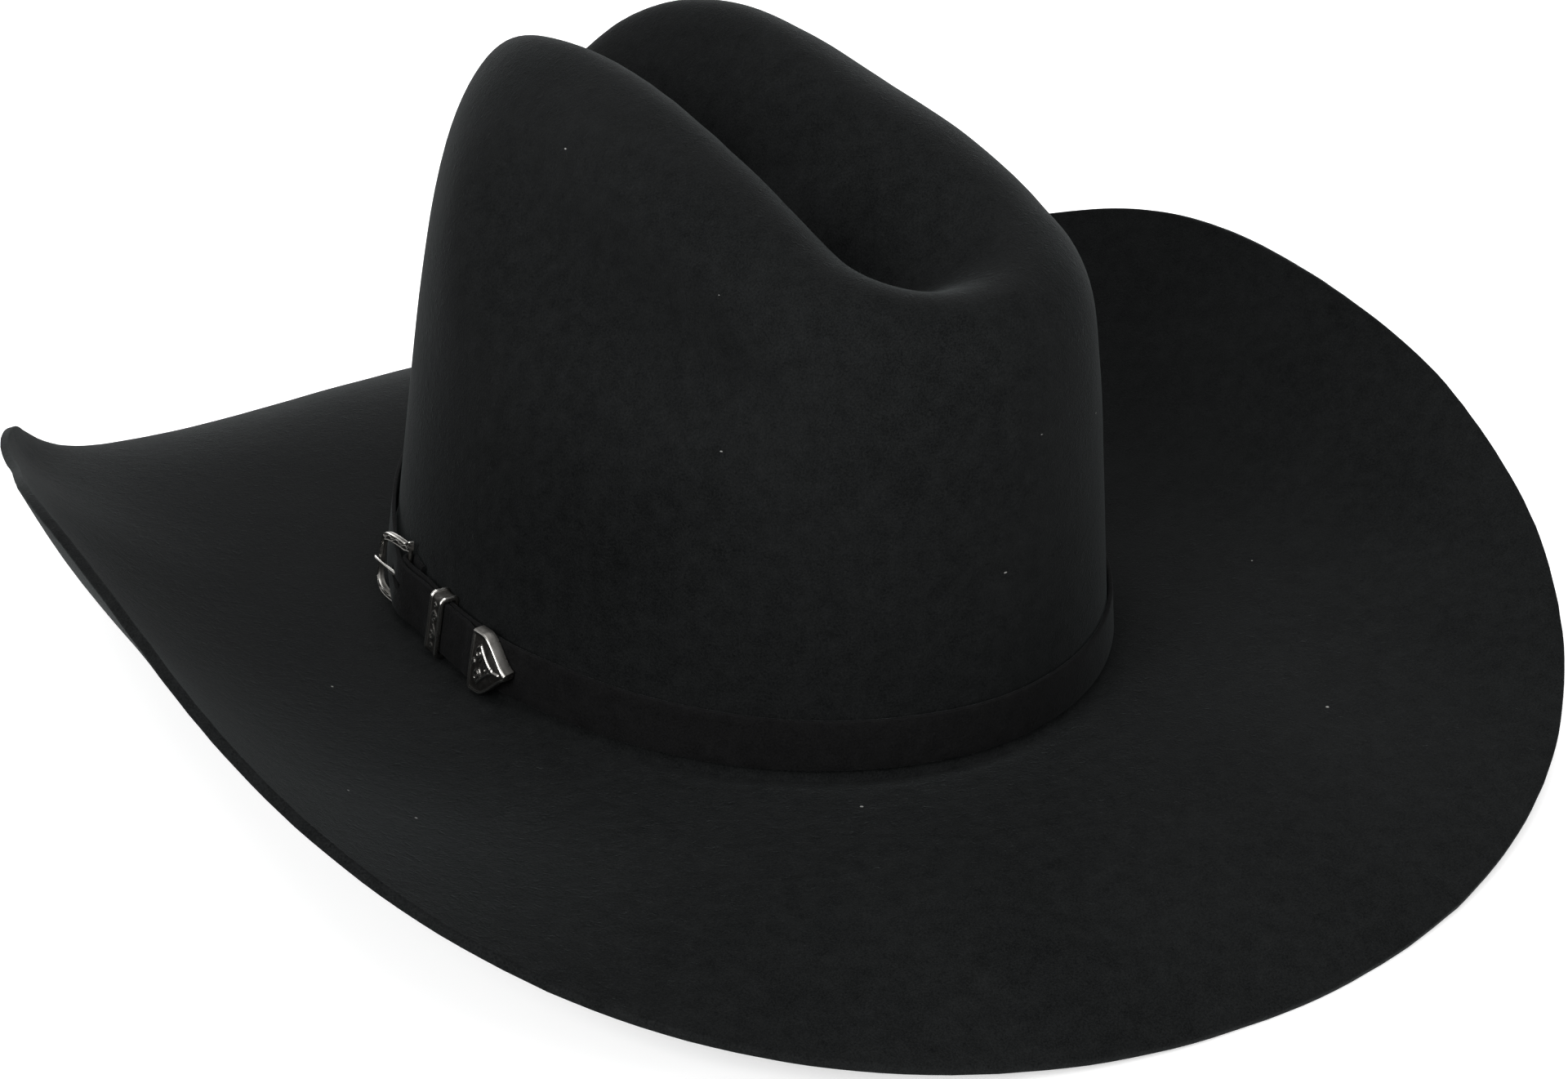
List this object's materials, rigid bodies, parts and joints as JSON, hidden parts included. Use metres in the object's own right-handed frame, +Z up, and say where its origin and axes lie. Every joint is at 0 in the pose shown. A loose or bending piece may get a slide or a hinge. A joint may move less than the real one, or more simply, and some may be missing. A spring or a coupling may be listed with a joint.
{
  "type": "cowboy hat",
  "caption": "Western felt hat with a creased crown, curled brim, belt-style band with a buckle set, leather sweatband and lining",
  "frame": {"origin": "middle of the hat's outline seen from above, on the plane the brim rests on at its front and back", "axes": "+Z up through the crown, -Y toward the front of the hat, +X toward the wearer's left, where the buckle is"},
  "size_m": [0.3546, 0.4068, 0.1516],
  "materials": {
    "felt": "brushed black fur felt with a soft nap",
    "strap_felt": "pressed black felt strap with raw cut edges",
    "buckle_metal": "antiqued silver plate, engraved and darkened in the hollows",
    "sweat_leather": "black roan leather, semi-matt",
    "reed_plastic": "plain extruded plastic cord",
    "ribbon": "black grosgrain ribbon",
    "lining_satin": "black satin",
    "clear_film": "thin clear plastic"
  },
  "bodies": {
    "hat": {"felt_body": "felt", "hat_band_strap": "strap_felt", "buckle_frame": "buckle_metal", "strap_tip": "buckle_metal", "sweatband": "sweat_leather", "sweatband_reed": "reed_plastic", "sweatband_seam_patch": "sweat_leather", "sweatband_bow": "ribbon", "lining_side": "lining_satin", "lining_tip": "lining_satin", "lining_crest_shield": "clear_film"},
    "prong": {"buckle_prong": "buckle_metal"},
    "keeper": {"strap_keeper": "buckle_metal"}
  },
  "joints": [
    {"name": "prong_hinge", "type": "hinge", "parent": "hat", "child": "prong", "pos_m": [0.08325, -0.03151, 0.02603], "axis": [-0.1757, 0.0471, 0.9833], "range_deg": [0, 70]},
    {"name": "keeper_slide", "type": "hinge", "parent": "hat", "child": "keeper", "pos_m": [-0.04053, -0.00466, 0.02373], "axis": [0, 0.0809, 0.9967], "range_deg": [-1, 3.7]}
  ]
}
